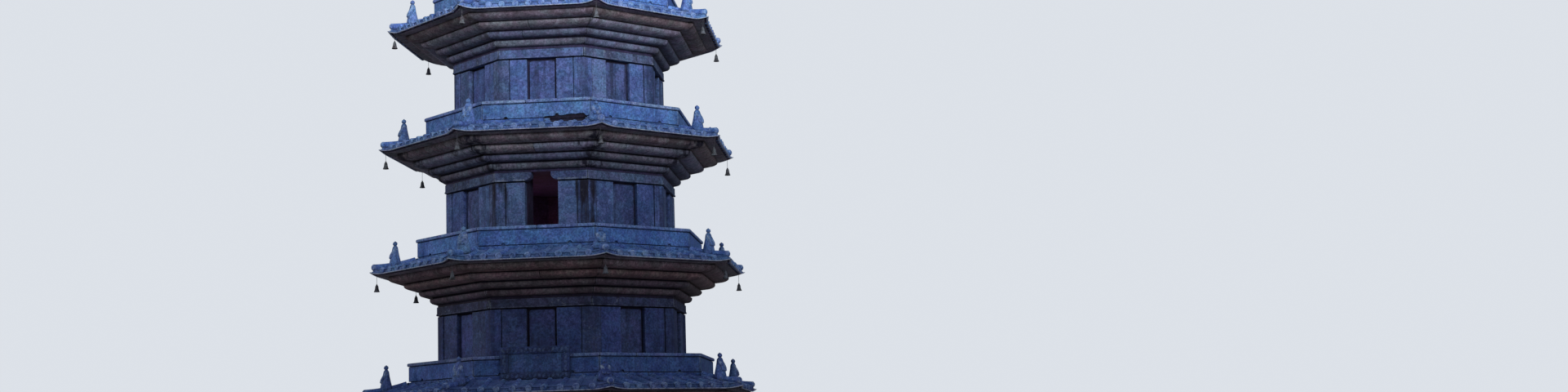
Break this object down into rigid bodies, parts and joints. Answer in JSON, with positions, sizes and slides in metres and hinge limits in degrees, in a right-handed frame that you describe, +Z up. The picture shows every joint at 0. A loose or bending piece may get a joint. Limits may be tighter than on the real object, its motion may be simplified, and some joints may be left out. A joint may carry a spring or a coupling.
{
  "type": "octagonal stone pagoda",
  "caption": "Octagonal stone tower of stacked storeys with rounded corbel courses, swept eaves with corner bells, gallery parapets, open and blind doorways and a ringed finial.",
  "frame": {"origin": "centre of the base's underside, on the ground, on the tower's upright axis", "axes": "+Z up, -Y towards the front side with the plaque and the doorways, +X to the right seen from the front"},
  "size_m": [4.176, 4.176, 12.27],
  "materials": {
    "wall_granite": "dressed blue-grey granite, matt, weathered, with dark run-off stains at the posts",
    "roof_granite": "carved blue-grey granite, matt, with pale lichen and worn edges on the tiles",
    "cornice_granite": "dressed granite stained brown-grey in the shelter of the eaves, matt",
    "base_granite": "dressed grey granite, matt, weathered"
  },
  "bodies": {
    "root": {"base_footing": "base_granite", "base_lower_moulding": "base_granite", "base_waist": "base_granite", "base_cap": "base_granite", "storey_1_west_wall": "wall_granite", "storey_1_east_wall": "wall_granite", "storey_1_cornice": "cornice_granite", "storey_1_roof": "roof_granite", "storey_2_parapet": "wall_granite", "parapet_plaque": "wall_granite", "storey_2_wall": "wall_granite", "storey_2_cornice": "cornice_granite", "storey_2_roof": "roof_granite", "storey_3_parapet": "wall_granite", "storey_3_west_wall": "wall_granite", "storey_3_east_wall": "wall_granite", "storey_3_cornice": "cornice_granite", "storey_3_roof": "roof_granite", "storey_4_parapet": "wall_granite", "storey_4_wall": "wall_granite", "storey_4_cornice": "cornice_granite", "storey_4_roof": "roof_granite", "storey_5_parapet": "wall_granite", "storey_5_west_wall": "wall_granite", "storey_5_east_wall": "wall_granite", "storey_5_cornice": "cornice_granite", "storey_5_roof": "roof_granite", "storey_6_parapet": "wall_granite", "storey_6_wall": "wall_granite", "storey_6_cornice": "cornice_granite", "storey_6_roof": "roof_granite", "storey_7_parapet": "wall_granite", "storey_7_west_wall": "wall_granite", "storey_7_east_wall": "wall_granite", "storey_7_cornice": "cornice_granite", "storey_7_roof": "roof_granite", "finial_seat": "roof_granite", "finial_bowl": "roof_granite", "finial_rings": "roof_granite", "finial_jewel": "roof_granite"}
  },
  "joints": []
}
